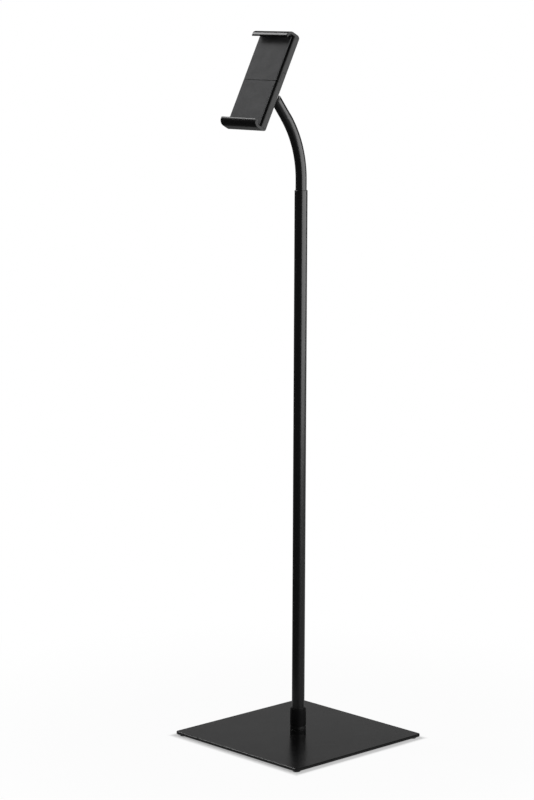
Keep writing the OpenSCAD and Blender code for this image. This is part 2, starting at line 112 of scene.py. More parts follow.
# The clamp's own space: x across, y out of its back, z up from its foot
CLAMP_FOOT = CLAMP_FRONT * span("lower_jaw", CLAMP_FRONT)[0] + CLAMP_UP * span("lower_jaw", CLAMP_UP)[0]
CLAMP_TURN = Matrix((ACROSS, -CLAMP_FRONT, CLAMP_UP)).transposed()
CLAMP_SPACE = Matrix.Translation(CLAMP_FOOT) @ CLAMP_TURN.to_4x4()


# Sizes and colours that a user would change


def length(name, description, default_mm):
    return bpy.props.FloatProperty(
        name=name, description=description, default=default_mm * MM, min=0, unit="LENGTH", precision=5
    )


def colour(name, description, default):
    return bpy.props.FloatVectorProperty(
        name=name, description=description, default=default, size=3, subtype="COLOR", min=0, max=1
    )


def share(name, description, default):
    return bpy.props.FloatProperty(
        name=name, description=description, default=default, min=0, max=1, subtype="FACTOR"
    )


def power(name, description, default):
    return bpy.props.FloatProperty(
        name=name, description=description, default=default, min=0, unit="POWER"
    )


def count(name, description, default):
    return bpy.props.IntProperty(name=name, description=description, default=default, min=1)


class StandSizes(bpy.types.PropertyGroup):
    """Sizes of the visible pieces that the CAD model leaves plain."""

    plate_corner: length("Plate Corner", "Corner radius of the base plate", 5)
    plate_edge: length("Plate Edge", "Rounding along the base plate's edges", 0.9)
    foot_edge: length("Foot Edge", "Rounding of a rubber foot's rim", 0.9)
    foot_dish: length("Foot Dish", "Depth of the hollow under a foot", 0.6)
    turned_edge: length("Turned Edge", "Rounding of the ring's and collar's edges", 0.5)
    pole_wall: length("Pole Wall", "Wall of the pole", 1.5)
    neck_wall: length("Neck Wall", "Wall of the neck tube", 1.5)
    neck_bend: length("Neck Bend", "Radius of the neck's bend on its centre line", 174)
    neck_reach: length("Neck Reach", "From the neck's end to the ball's centre", 20)
    neck_step: length("Neck Step", "How far the neck's straight end is drawn in, on the radius", 0.2)
    shell_edge: length("Shell Edge", "Rounding along the moulded shells' outer edges", 0.45)
    small_edge: length("Small Edge", "Rounding along the edges of small pieces", 0.25)
    pad_corner: length("Pad Corner", "Corner radius of a face pad", 1.5)
    pad_edge: length("Pad Edge", "Rounding along a face pad's rim", 0.55)
    screw_slot: length("Screw Slot", "Width of the cross slot in a screw's head", 1.0)
    wire: length("Spring Wire", "Diameter of the spring wire", 0.8)
    coil: length("Spring Coil", "Outer diameter of the springs", 5.0)
    turns: count("Spring Turns", "Turns of each spring", 20)
    sides: count("Round Sides", "Flat sides that stand for a full turn", 96)


class StandColours(bpy.types.PropertyGroup):
    """Base colours of the finishes."""

    coat: colour("Powder Coat", "Satin black coat of the plate, pole and neck", (0.004, 0.004, 0.0042))
    plastic: colour("Plastic", "Moulded black plastic of the clamp", (0.005, 0.005, 0.0052))
    pad: colour("Pad", "Charcoal face pads", (0.078, 0.078, 0.08))
    rubber: colour("Rubber", "Feet and jaw grips", (0.008, 0.008, 0.008))
    zinc: colour("Zinc", "Plated steel", (0.52, 0.53, 0.55))


class StandStage(bpy.types.PropertyGroup):
    """Studio values."""

    floor: share("Floor", "Paleness of the floor", 0.65)
    contact: share("Contact Shadow", "How much of the floor's shading the camera sees by the plate", 0.6)
    floor_shadow: share("Floor Shadow", "How much of the floor's shading the camera sees further out", 0.05)
    ambient: share("Ambient", "Soft light from all round", 0.08)
    mirrored: share("Mirrored Backdrop", "How bright the backdrop is in reflections", 0.08)
    mirrored_floor: share(
        "Mirrored Floor", "How bright the floor by the plate and behind it is in reflections", 0.32
    )
    key: power("Key", "Soft box at the front left, above the clamp, for matt surfaces", 43)
    sheen: power("Sheen", "Larger soft box round the key, for reflections", 95)
    side: power("Side", "Wide soft wall at the right", 115)
    back: power("Back", "Dim panel behind the stand", 1.9)


# Node trees written as Python expressions


class Value:
    """A number socket: each arithmetic sign adds a Math node to its tree."""

    def __init__(self, graph, socket):
        self.graph = graph
        self.socket = socket

    def math(self, operation, *terms):
        inputs = dict(enumerate(terms))
        return self.graph.add("ShaderNodeMath", {"operation": operation}, inputs)

    def __add__(self, other):
        return self.math("ADD", self, other)

    def __radd__(self, other):
        return self.math("ADD", other, self)

    def __sub__(self, other):
        return self.math("SUBTRACT", self, other)

    def __rsub__(self, other):
        return self.math("SUBTRACT", other, self)

    def __mul__(self, other):
        return self.math("MULTIPLY", self, other)

    def __rmul__(self, other):
        return self.math("MULTIPLY", other, self)

    def __truediv__(self, other):
        return self.math("DIVIDE", self, other)

    def __rtruediv__(self, other):
        return self.math("DIVIDE", other, self)


class Graph:
    """A node tree with one way to add nodes."""

    def __init__(self, tree):
        self.tree = tree

    def add(self, kind, settings=None, inputs=None, out=0):
        """Adds a node, sets it up, fills its sockets and returns one output, or the node for out=None."""
        node = self.tree.nodes.new(kind)
        for key, setting in (settings or {}).items():
            setattr(node, key, setting)
        for key, value in (inputs or {}).items():
            self.fill(self.find(node, key), value)
        return node if out is None else Value(self, node.outputs[out])

    def find(self, node, key):
        if isinstance(key, int):
            return node.inputs[key]
        named = [socket for socket in node.inputs if socket.identifier == key]
        named += [socket for socket in node.inputs if socket.name == key and socket.enabled]
        if not named:
            raise RuntimeError(f"{node.bl_idname} has no input {key}")
        return named[0]

    def fill(self, socket, value):
        if isinstance(value, Value):
            self.tree.links.new(value.socket, socket)
        else:
            socket.default_value = value


def new_material(name):
    """A material with its graph and its Principled shader."""
    material = bpy.data.materials.new(name)
    material.use_nodes = True
    graph = Graph(material.node_tree)
    shader = next(node for node in material.node_tree.nodes if node.type == "BSDF_PRINCIPLED")
    return material, graph, shader


def noise(graph, coords, scale, detail=2.0, roughness=0.5):
    return graph.add(
        "ShaderNodeTexNoise",
        {"noise_dimensions": "3D"},
        {"Vector": coords, "Scale": scale, "Detail": detail, "Roughness": roughness},
    )


def weighted(first, second, first_share):
    """A blend of two number sockets in fixed shares."""
    return first * first_share + second * (1 - first_share)


def between(factor, low, high):
    """A socket that runs from low to high as its factor runs from 0 to 1."""
    return factor * (high - low) + low


def paint(graph, shader, factor, first, second):
    """Lets the base colour run from one colour to another by a factor socket."""
    colour_output = 2
    blend = graph.add(
        "ShaderNodeMix",
        {"data_type": "RGBA"},
        {"Factor_Float": factor, "A_Color": (*first, 1), "B_Color": (*second, 1)},
        out=colour_output,
    )
    graph.fill(shader.inputs["Base Color"], blend)


def raise_surface(graph, shader, height, strength, depth, inverted=False):
    """Bumps a surface by a height socket, to a depth in metres."""
    bump = graph.add(
        "ShaderNodeBump",
        {"invert": inverted},
        {"Strength": strength, "Distance": depth, "Height": height},
    )
    graph.fill(shader.inputs["Normal"], bump)


def object_coords(graph):
    return graph.add("ShaderNodeTexCoord", out="Object")


def shaded(colour_value, factor):
    return tuple(channel * factor for channel in colour_value)


def grained_finish(name, tone, grain, cloud, roughness, bump, specular):
    """A finish with a fine surface grain, cloudy tone and uneven gloss.

    grain and cloud are feature sizes in metres, roughness a lowest and highest value.
    """
    fine_scale = 1 / grain
    coarse_scale = 0.3 / grain
    relief_depth = 0.25 * grain
    darkest, lightest = shaded(tone, 0.75), shaded(tone, 1.25)
    material, graph, shader = new_material(name)
    coords = object_coords(graph)
    fine = noise(graph, coords, fine_scale, detail=3.0, roughness=0.6)
    coarse = noise(graph, coords, coarse_scale, detail=1.0)
    clouds = noise(graph, coords, 1 / cloud, detail=3.0)
    paint(graph, shader, weighted(clouds, fine, 0.6), darkest, lightest)
    graph.fill(shader.inputs["Roughness"], between(weighted(clouds, fine, 0.4), *roughness))
    raise_surface(graph, shader, weighted(fine, coarse, 0.6), bump, relief_depth)
    shader.inputs["Specular IOR Level"].default_value = specular
    return material


def pad_finish(name, tone):
    """Matt sheet with a pebbled surface."""
    pebble_size = 0.9 * MM
    cloud_size = 18 * MM
    relief_depth = 0.16 * MM
    lightest, darkest = shaded(tone, 1.15), shaded(tone, 0.85)
    material, graph, shader = new_material(name)
    coords = object_coords(graph)
    pebbles = graph.add(
        "ShaderNodeTexVoronoi", {"feature": "SMOOTH_F1"}, {"Vector": coords, "Scale": 1 / pebble_size}
    )
    clouds = noise(graph, coords, 1 / cloud_size, detail=3.0)
    paint(graph, shader, weighted(clouds, pebbles, 0.7), lightest, darkest)
    graph.fill(shader.inputs["Roughness"], between(clouds, 0.66, 0.78))
    raise_surface(graph, shader, pebbles, strength=0.8, depth=relief_depth, inverted=True)
    shader.inputs["Specular IOR Level"].default_value = 0.1
    return material


def zinc_finish(name, tone):
    """Plated steel with fine drawn lines and a cloudy passivated tint."""
    lines_per_metre = (4000, 4000, 250)
    cloud_size = 6 * MM
    relief_depth = 0.02 * MM
    tint = (tone[0] * 1.02, tone[1], tone[2] * 0.9)
    material, graph, shader = new_material(name)
    coords = object_coords(graph)
    drawn = graph.add("ShaderNodeMapping", {}, {"Vector": coords, "Scale": lines_per_metre})
    lines = noise(graph, drawn, 1.0)
    clouds = noise(graph, coords, 1 / cloud_size)
    paint(graph, shader, clouds, tone, tint)
    graph.fill(shader.inputs["Roughness"], between(lines, 0.24, 0.44))
    raise_surface(graph, shader, lines, strength=0.1, depth=relief_depth)
    shader.inputs["Metallic"].default_value = 1.0
    return material


# Finishes with a grain; tone is the name of a colour property
GRAINED_FINISHES = {
    "powder_coat": {
        "tone": "coat", "grain": 0.45 * MM, "cloud": 60 * MM,
        "roughness": (0.17, 0.32), "bump": 0.22, "specular": 0.5,
    },
    "plate_coat": {
        "tone": "coat", "grain": 0.7 * MM, "cloud": 60 * MM,
        "roughness": (0.17, 0.32), "bump": 0.34, "specular": 0.5,
    },
    "dull_coat": {
        "tone": "coat", "grain": 0.45 * MM, "cloud": 30 * MM,
        "roughness": (0.25, 0.41), "bump": 0.4, "specular": 0.16,
    },
    "black_plastic": {
        "tone": "plastic", "grain": 0.6 * MM, "cloud": 25 * MM,
        "roughness": (0.2, 0.38), "bump": 0.28, "specular": 0.22,
    },
    "black_rubber": {
        "tone": "rubber", "grain": 0.8 * MM, "cloud": 9 * MM,
        "roughness": (0.62, 0.76), "bump": 0.2, "specular": 0.3,
    },
}


def finish(kind):
    """A named finish, made on first use."""
    name = kind + "_finish"
    made = bpy.data.materials.get(name)
    if made:
        return made
    tones = bpy.context.scene.stand_colours
    if kind == "soft_pad":
        return pad_finish(name, tones.pad)
    if kind == "plated_steel":
        return zinc_finish(name, tones.zinc)
    if kind not in GRAINED_FINISHES:
        raise RuntimeError(f"no finish is named {kind}")
    settings = dict(GRAINED_FINISHES[kind])
    tone = getattr(tones, settings.pop("tone"))
    return grained_finish(name, tone, **settings)


# Mesh helpers


def rounded_outline(corners, steps=4):
    """Points of a closed outline whose corners are given as (x, y, radius)."""
    points = []
    for i, (x, y, radius) in enumerate(corners):
        here = Vector((x, y))
        if radius == 0:
            points.append(here)
            continue
        before = (Vector(corners[i - 1][:2]) - here).normalized()
        after = (Vector(corners[(i + 1) % len(corners)][:2]) - here).normalized()
        half = before.angle(after) / 2
        centre = here + (before + after).normalized() * (radius / math.sin(half))
        start = here + before * (radius / math.tan(half)) - centre
        turn = math.pi - 2 * half
        side = 1 if before.x * after.y - before.y * after.x < 0 else -1
        for k in range(steps + 1):
            angle = side * turn * k / steps
            offset = Matrix.Rotation(angle, 2) @ start
            points.append(centre + offset)
    return points


def rounded_rectangle(half, low, high, radius, steps):
    """Points of a rectangle between -half and half and between low and high, with round corners."""
    corners = [(-half, low, radius), (half, low, radius), (half, high, radius), (-half, high, radius)]
    return rounded_outline(corners, steps)


def quarter_turn(steps):
    """Even steps from zero to a right angle."""
    return [math.pi / 2 * k / steps for k in range(steps + 1)]


def ring_mesh(loops, capped=False):
    """A bmesh of quads between equal loops of points, joined end to end or capped at both ends."""
    mesh = bmesh.new()
    rows = [[mesh.verts.new(point) for point in loop] for loop in loops]
    pairs = list(zip(rows, rows[1:]))
    if not capped:
        pairs.append((rows[-1], rows[0]))
    for row, following in pairs:
        for i in range(len(row)):
            j = (i + 1) % len(row)
            mesh.faces.new((row[i], row[j], following[j], following[i]))
    if capped:
        mesh.faces.new(rows[0])
        mesh.faces.new(rows[-1])
    return mesh


def turned_mesh(outline, sides):
    """A bmesh turned about Z from a closed outline of (radius, height) points."""
    turns = [2 * math.pi * k / sides for k in range(sides)]
    loops = [[Vector((r * math.cos(a), r * math.sin(a), z)) for a in turns] for r, z in outline]
    return ring_mesh(loops)


def to_object(name, mesh, material, place=None, sharp=SHARP_ANGLE):
    """Turns a bmesh into a linked object with outward faces and its place in its mesh."""
    if place is not None:
        mesh.transform(place)
    bmesh.ops.remove_doubles(mesh, verts=mesh.verts, dist=MERGE_DISTANCE)
    bmesh.ops.recalc_face_normals(mesh, faces=mesh.faces)
    data = bpy.data.meshes.new(name)
    mesh.to_mesh(data)
    mesh.free()
    return link_mesh(name, data, material, sharp)


def link_mesh(name, data, material, sharp=SHARP_ANGLE):
    """Links a mesh as an object with one material and smooth shading between its sharp edges."""
    data.shade_smooth()
    data.set_sharp_from_angle(angle=math.radians(sharp))
    data.materials.clear()
    data.materials.append(material)
    piece = bpy.data.objects.new(name, data)
    bpy.context.scene.collection.objects.link(piece)
    keep_flats(piece)
    return piece


def bake_modifiers(piece):
    """Puts the shape that a piece's modifiers give into its mesh."""
    bpy.context.view_layer.update()
    depsgraph = bpy.context.evaluated_depsgraph_get()
    data = bpy.data.meshes.new_from_object(piece.evaluated_get(depsgraph))
    piece.modifiers.clear()
    piece.data = data


def keep_flats(piece):
    """Lets large flat faces keep their own normals beside rounded edges."""
    normals = piece.modifiers.new("flats", "WEIGHTED_NORMAL")
    normals.keep_sharp = True
    bake_modifiers(piece)


def dress(piece, node):
    """Puts a finished piece in a CAD node's place, on the node's body."""
    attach(piece, frame["nodes"][node]["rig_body"])
    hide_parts(node)


def softened(node, slot, edge, wanted=None):
    """Replaces a CAD node by a copy whose sharp edges are rounded over.

    wanted picks the edges by their two end points in the clamp's space.
    """
    mesh = bmesh.new()
    mesh.from_mesh(frame["nodes"][node].data)
    bmesh.ops.remove_doubles(mesh, verts=mesh.verts, dist=CAD_MERGE_DISTANCE)
    bmesh.ops.dissolve_limit(
        mesh,
        angle_limit=math.radians(FLAT_ANGLE),
        verts=mesh.verts,
        edges=mesh.edges,
        delimit={"NORMAL"},
    )
    to_clamp = CLAMP_SPACE.inverted()
    chosen = []
    for line in mesh.edges:
        if len(line.link_faces) != 2 or line.calc_face_angle() < math.radians(ROUNDED_ANGLE):
            continue
        ends = [to_clamp @ vertex.co for vertex in line.verts]
        if wanted is None or wanted(*ends):
            chosen.append(line)
    if chosen and edge > 0:
        bmesh.ops.bevel(
            mesh, geom=chosen, offset=edge, segments=2, profile=0.5, affect="EDGES", clamp_overlap=True
        )
    data = bpy.data.meshes.new(node + "_soft")
    mesh.to_mesh(data)
    mesh.free()
    piece = link_mesh(node + "_dressed", data, finish(slot))
    dress(piece, node)


# Geometry Nodes


class GeometryTree(Graph):
    """A Geometry Nodes tree with named inputs that ends in Realize Instances and Set Material.

    inputs gives each input's kind of socket: Float, Int, Vector or Object.
    """

    def __init__(self, name, inputs):
        super().__init__(bpy.data.node_groups.new(name, "GeometryNodeTree"))
        self.inputs = {}
        for label, kind in {"Geometry": "Geometry", **inputs, "Material": "Material"}.items():
            socket = self.tree.interface.new_socket(
                name=label, in_out="INPUT", socket_type="NodeSocket" + kind
            )
            self.inputs[label] = socket.identifier
        self.tree.interface.new_socket(name="Geometry", in_out="OUTPUT", socket_type="NodeSocketGeometry")
        self.group_in = self.tree.nodes.new("NodeGroupInput")

    def given(self, label):
        """The socket of a named input."""
        return Value(self, self.group_in.outputs[label])

    def finish_with(self, geometry):
        real = self.add("GeometryNodeRealizeInstances", {}, {"Geometry": geometry})
        painted = self.add(
            "GeometryNodeSetMaterial", {}, {"Geometry": real, "Material": self.given("Material")}
        )
        self.add("NodeGroupOutput", {}, {"Geometry": painted}, out=None)

    def make(self, name, values, material, start=None):
        """Runs the tree with these input values and returns a plain mesh object."""
        data = start or bpy.data.meshes.new(name)
        piece = bpy.data.objects.new(name, data)
        bpy.context.scene.collection.objects.link(piece)
        modifier = piece.modifiers.new("shape", "NODES")
        modifier.node_group = self.tree
        for label, value in {**values, "Material": material}.items():
            modifier[self.inputs[label]] = value
        bake_modifiers(piece)
        if not piece.data.polygons:
            raise RuntimeError(f"the tree {self.tree.name} made nothing for {name}")
        piece.data.shade_smooth()
        piece.data.set_sharp_from_angle(angle=math.radians(SHARP_ANGLE))
        return piece


def grid_repeat_tree():
    """One shape repeated on a rectangular grid, which is then turned and placed."""
    tree = GeometryTree(
        "grid_repeat",
        {
            "Shape": "Object", "Columns": "Int", "Rows": "Int", "Width": "Float", "Height": "Float",
            "Turn": "Vector", "Place": "Vector",
        },
    )
    grid = tree.add(
        "GeometryNodeMeshGrid",
        {},
        {
            "Size X": tree.given("Width"), "Size Y": tree.given("Height"),
            "Vertices X": tree.given("Columns"), "Vertices Y": tree.given("Rows"),
        },
    )
    shape = tree.add("GeometryNodeObjectInfo", {}, {"Object": tree.given("Shape")}, out="Geometry")
    spread = tree.add("GeometryNodeInstanceOnPoints", {}, {"Points": grid, "Instance": shape})
    placed = tree.add(
        "GeometryNodeTransform",
        {},
        {"Geometry": spread, "Rotation": tree.given("Turn"), "Translation": tree.given("Place")},
    )
    tree.finish_with(placed)
    return tree


def neck_tree():
    """Outer skin of a tube that runs straight up, bends forward and runs straight again."""
    tree = GeometryTree(
        "bent_tube",
        {
            "Foot": "Float", "Bend Start": "Float", "Bend Radius": "Float", "Bend Angle": "Float",
            "Tip": "Float", "Tip Step": "Float", "Radius": "Float", "Rings": "Int", "Sides": "Int",
        },
    )
    step_length = 1 * MM
    radius, angle = tree.given("Bend Radius"), tree.given("Bend Angle")
    straight = tree.given("Bend Start") - tree.given("Foot")
    arc = radius * angle
    whole = straight + arc + tree.given("Tip")
    line = tree.add("GeometryNodeCurvePrimitiveLine", {}, {"End": (0, 0, 1)})
    rings = tree.add("GeometryNodeResampleCurve", {}, {"Curve": line, "Count": tree.given("Rings")})
    along = tree.add("GeometryNodeSplineParameter", out="Factor") * whole
    lower = along.math("MINIMUM", along, straight)
    bent = along.math("MINIMUM", along.math("MAXIMUM", along - straight, 0.0), arc)
    upper = along.math("MAXIMUM", along - straight - arc, 0.0)
    turned = bent / radius
    forward = radius * (1 - turned.math("COSINE", turned)) + upper * angle.math("SINE", angle)
    height = tree.given("Foot") + lower + radius * turned.math("SINE", turned)
    height = height + upper * angle.math("COSINE", angle)
    point = tree.add("ShaderNodeCombineXYZ", {}, {"X": 0.0, "Y": 0 - forward, "Z": height})
    path = tree.add("GeometryNodeSetPosition", {}, {"Geometry": rings, "Position": point})
    drawn_in = tree.given("Tip Step") * upper.math("MINIMUM", upper / step_length, 1.0)
    profile = tree.add(
        "GeometryNodeCurvePrimitiveCircle", {}, {"Resolution": tree.given("Sides"), "Radius": 1.0}
    )
    skin = tree.add(
        "GeometryNodeCurveToMesh",
        {},
        {"Curve": path, "Profile Curve": profile, "Scale": tree.given("Radius") - drawn_in},
    )
    tree.finish_with(skin)
    return tree


def wire_tree():
    """A round wire swept along the lines of a mesh."""
    tree = GeometryTree("wire_sweep", {"Wire Radius": "Float", "Wire Sides": "Int"})
    path = tree.add("GeometryNodeMeshToCurve", {}, {"Mesh": tree.given("Geometry")})
    profile = tree.add(
        "GeometryNodeCurvePrimitiveCircle",
        {},
        {"Resolution": tree.given("Wire Sides"), "Radius": tree.given("Wire Radius")},
    )
    wire = tree.add(
        "GeometryNodeCurveToMesh", {}, {"Curve": path, "Profile Curve": profile, "Fill Caps": True}
    )
    tree.finish_with(wire)
    return tree


# Pieces


class STAND_OT_base(bpy.types.Operator):
    """Base plate with rounded edges, and its four moulded feet"""

    bl_idname = "stand.base"
    bl_label = "Base Plate and Feet"

    def execute(self, context):
        sizes = context.scene.stand_sizes
        self.make_plate(sizes)
        self.make_feet(sizes)
        softened("base_bolt", "plated_steel", 0)
        return {"FINISHED"}

    def make_plate(self, sizes):
        low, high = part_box("base_plate")
        hole_r = 5.05 * MM
        sink_r = 9.05 * MM
        sink_h = 4 * MM
        edge_steps = 4
        corner_steps = 10
        edge = sizes.plate_edge

        def square_loop(inset, z):
            reach = high.x - inset
            corner = sizes.plate_corner - inset
            flat = rounded_rectangle(reach, -reach, reach, corner, corner_steps)
            return [Vector((p.x, p.y, z)) for p in flat]

        def round_loop(radius, z):
            return [Vector((*(radius * Vector((p.x, p.y)).normalized()), z)) for p in square_loop(0, z)]

        angles = quarter_turn(edge_steps)
        rims = [square_loop(edge * (1 - math.sin(a)), low.z + edge * (1 - math.cos(a))) for a in angles]
        rims += [square_loop(edge * (1 - math.cos(a)), high.z - edge * (1 - math.sin(a))) for a in angles]
        middle = [round_loop(hole_r, high.z), round_loop(hole_r, low.z + sink_h), round_loop(sink_r, low.z)]
        plate = to_object("base_plate_dressed", ring_mesh(rims + middle), finish("plate_coat"))
        dress(plate, "base_plate")

    def make_feet(self, sizes):
        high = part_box("base_feet")[1]
        foot_r = 7 * MM
        taper = 0.5 * MM
        lower_r = foot_r - taper
        dish_r = lower_r * 0.6
        dish_edge = 0.2 * MM
        eye_r = 0.4 * MM
        foot_sides = 48
        outline = rounded_outline(
            [
                (eye_r, sizes.foot_dish, 0),
                (dish_r, sizes.foot_dish, dish_edge),
                (dish_r + sizes.foot_dish, 0, dish_edge),
                (lower_r, 0, sizes.foot_edge),
                (foot_r, high.z, 0),
                (eye_r, high.z, 0),
            ]
        )
        foot = to_object("foot_shape", turned_mesh(outline, foot_sides), finish("black_rubber"))
        spacing = 2 * (high.x - foot_r)
        feet = grid_repeat_tree().make(
            "base_feet_dressed",
            {"Shape": foot, "Columns": 2, "Rows": 2, "Width": spacing, "Height": spacing},
            finish("black_rubber"),
        )
        bpy.data.objects.remove(foot)
        dress(feet, "base_feet")


class STAND_OT_pole(bpy.types.Operator):
    """Ring, collar and pole, turned from their outlines"""

    bl_idname = "stand.pole"
    bl_label = "Pole and Collar"

    def execute(self, context):
        sizes = context.scene.stand_sizes
        ring_low, ring_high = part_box("base_ring")
        collar_low, collar_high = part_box("pole_collar")
        pole_low, pole_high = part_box("pole")
        edge = sizes.turned_edge
        hair_edge, fine_edge, soft_edge = 0.1 * MM, 0.2 * MM, 0.3 * MM
        fit = 0.05 * MM
        bevel = 0.8 * MM
        band = 6 * MM
        waist = 0.7 * MM
        top_bevel = 1.2 * MM
        bore = pole_high.x + fit
        outer = collar_high.x
        self.turn(
            sizes, "base_ring", "dull_coat",
            [
                (bore, ring_low.z, 0), (outer, ring_low.z, fine_edge),
                (outer, ring_high.z, edge), (bore, ring_high.z, 0),
            ],
        )
        low, high = collar_low.z, collar_high.z
        self.turn(
            sizes, "pole_collar", "dull_coat",
            [
                (bore, low, 0), (outer - bevel, low, fine_edge), (outer, low + bevel, soft_edge),
                (outer - waist, low + band, fine_edge), (outer, low + band + bevel, soft_edge),
                (outer, high - top_bevel, edge), (outer - top_bevel, high, edge), (bore, high, hair_edge),
            ],
        )
        inner = pole_high.x - sizes.pole_wall
        self.turn(
            sizes, "pole", "powder_coat",
            [
                (inner, pole_low.z, 0), (pole_high.x, pole_low.z, fine_edge),
                (pole_high.x, pole_high.z, edge), (inner, pole_high.z, hair_edge),
            ],
        )
        softened("neck_screw", "plated_steel", 0)
        return {"FINISHED"}

    def turn(self, sizes, node, coat, corners):
        mesh = turned_mesh(rounded_outline(corners), sizes.sides)
        piece = to_object(node + "_dressed", mesh, finish(coat), sharp=TURNED_SHARP_ANGLE)
        dress(piece, node)


class STAND_OT_neck(bpy.types.Operator):
    """Bent neck tube, swept along its path"""

    bl_idname = "stand.neck"
    bl_label = "Neck"

    def execute(self, context):
        sizes = context.scene.stand_sizes
        low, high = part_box("neck_tube")
        angle = math.acos(NECK_AXIS.z)
        bend = sizes.neck_bend
        rings = 140
        to_ball = (-BALL.y - bend * (1 - math.cos(angle))) / math.sin(angle)
        bend_start = BALL.z - bend * math.sin(angle) - to_ball * math.cos(angle)
        tube = neck_tree().make(
            "neck_tube_dressed",
            {
                "Foot": low.z, "Bend Start": bend_start, "Bend Radius": bend, "Bend Angle": angle,
                "Tip": to_ball - sizes.neck_reach, "Tip Step": sizes.neck_step, "Radius": high.x,
                "Rings": rings, "Sides": sizes.sides,
            },
            finish("powder_coat"),
        )
        wall = tube.modifiers.new("wall", "SOLIDIFY")
        wall.thickness = sizes.neck_wall
        wall.offset = -1
        wall.use_even_offset = True
        bake_modifiers(tube)
        tube.data.set_sharp_from_angle(angle=math.radians(SHARP_ANGLE))
        dress(tube, "neck_tube")
        return {"FINISHED"}


class STAND_OT_ball_joint(bpy.types.Operator):
    """Neck plug, ball stud and ring nut"""

    bl_idname = "stand.ball_joint"
    bl_label = "Ball Joint"

    def execute(self, context):
        sizes = context.scene.stand_sizes
        softened("neck_plug", "black_plastic", sizes.small_edge)
        softened("ball_stud", "plated_steel", 0)
        softened("lock_nut", "black_plastic", sizes.small_edge)
        return {"FINISHED"}


class STAND_OT_shells(bpy.types.Operator):
    """Moulded shells of the clamp, with their outer edges rounded over"""

    bl_idname = "stand.shells"
    bl_label = "Clamp Shells"

    def execute(self, context):
        edge = context.scene.stand_sizes.shell_edge
        side = span("lower_jaw", ACROSS)[1]
        nearness = 0.05 * MM
        least_length = 1.5 * MM

        def on_outside(first, second):
            """Picks the longer edges on the clamp's back and at its sides."""
            on_back = max(abs(first.y), abs(second.y)) < nearness
            at_side = min(abs(first.x), abs(second.x)) > side - nearness
            return (second - first).length > least_length and (on_back or at_side)

        for node in ("rear_housing", "slider_cover", "lower_jaw", "upper_jaw"):
            softened(node, "black_plastic", edge, on_outside)
        return {"FINISHED"}


class STAND_OT_pads(bpy.types.Operator):
    """Face pads and jaw grips"""

    bl_idname = "stand.pads"
    bl_label = "Pads and Grips"

    def execute(self, context):
        sizes = context.scene.stand_sizes
        for node in ("lower_pad", "upper_pad"):
            self.make_pad(sizes, node)
        for node in ("lower_grip", "upper_grip"):
            softened(node, "black_rubber", sizes.small_edge)
        return {"FINISHED"}

    def make_pad(self, sizes, node):
        half = span(node, ACROSS)[1]
        back, front = (reach - CLAMP_FOOT.dot(CLAMP_FRONT) for reach in span(node, CLAMP_FRONT))
        low, high = (reach - CLAMP_FOOT.dot(CLAMP_UP) for reach in span(node, CLAMP_UP))
        steps = 4
        least_corner = 0.2 * MM
        edge = sizes.pad_edge

        def loop(inset, depth):
            corner = max(sizes.pad_corner - inset, least_corner)
            flat = rounded_rectangle(half - inset, low + inset, high - inset, corner, steps)
            return [Vector((p.x, -depth, p.y)) for p in flat]

        loops = [loop(0, back)]
        for angle in quarter_turn(steps):
            loops.append(loop(edge * (1 - math.cos(angle)), front - edge * (1 - math.sin(angle))))
        mesh = ring_mesh(loops, capped=True)
        pad = to_object(node + "_dressed", mesh, finish("soft_pad"), CLAMP_SPACE, TURNED_SHARP_ANGLE)
        dress(pad, node)


class STAND_OT_screws(bpy.types.Operator):
    """Cross-slotted screws in the clamp's back"""

    bl_idname = "stand.screws"
    bl_label = "Clamp Screws"

    def execute(self, context):
        sizes = context.scene.stand_sizes
        screw = self.make_screw(sizes)
        tree = grid_repeat_tree()
        turn = Matrix((ACROSS, CLAMP_UP, CLAMP_FRONT)).transposed().to_euler()
        back = CLAMP_FOOT.dot(CLAMP_FRONT)
        for node in ("housing_screws", "slider_screws"):
            side = span(node, ACROSS)[1]
            low, high = span(node, CLAMP_UP)
            screws = tree.make(
                node + "_dressed",
                {
                    "Shape": screw, "Columns": 2, "Rows": 2,
                    "Width": 2 * (side - SCREW_HEAD_R), "Height": high - low - 2 * SCREW_HEAD_R,
                    "Turn": turn, "Place": CLAMP_UP * (low + high) / 2 + CLAMP_FRONT * back,
                },
                finish("plated_steel"),
            )
            dress(screws, node)
        bpy.data.objects.remove(screw)
        return {"FINISHED"}

    def make_screw(self, sizes):
        """One screw along Z, its head towards -Z, its slots cut by two crossed bars."""
        shank_r = 1.5 * MM
        core_r = 0.05 * MM
        head_back, head_front, end = 0.2 * MM, 1.8 * MM, 12 * MM
        dome_edge, rim_edge, point = 0.7 * MM, 0.1 * MM, 0.4 * MM
        slot_depth, slot_reach = 0.7 * MM, 1.7 * MM
        screw_sides = 40
        outline = rounded_outline(
            [
                (core_r, head_back, 0), (SCREW_HEAD_R, head_back, dome_edge),
                (SCREW_HEAD_R, head_front, rim_edge), (shank_r, head_front, 0),
                (shank_r, end - point, 0), (shank_r - point, end, 0), (core_r, end, 0),
            ]
        )
        screw = to_object("screw_shape", turned_mesh(outline, screw_sides), finish("plated_steel"))
        cutter_mesh = bmesh.new()
        at_head = Matrix.Translation((0, 0, head_back))
        bar = Matrix.Diagonal((2 * slot_reach, sizes.screw_slot, 2 * slot_depth, 1))
        for turn in (0, math.pi / 2):
            crossed = at_head @ Matrix.Rotation(turn, 4, "Z") @ bar
            bmesh.ops.create_cube(cutter_mesh, size=1, matrix=crossed)
        cutter = to_object("slot_shape", cutter_mesh, finish("plated_steel"))
        cut = screw.modifiers.new("slots", "BOOLEAN")
        cut.object = cutter
        cut.operation = "DIFFERENCE"
        cut.use_self = True
        bake_modifiers(screw)
        bpy.data.objects.remove(cutter)
        return screw


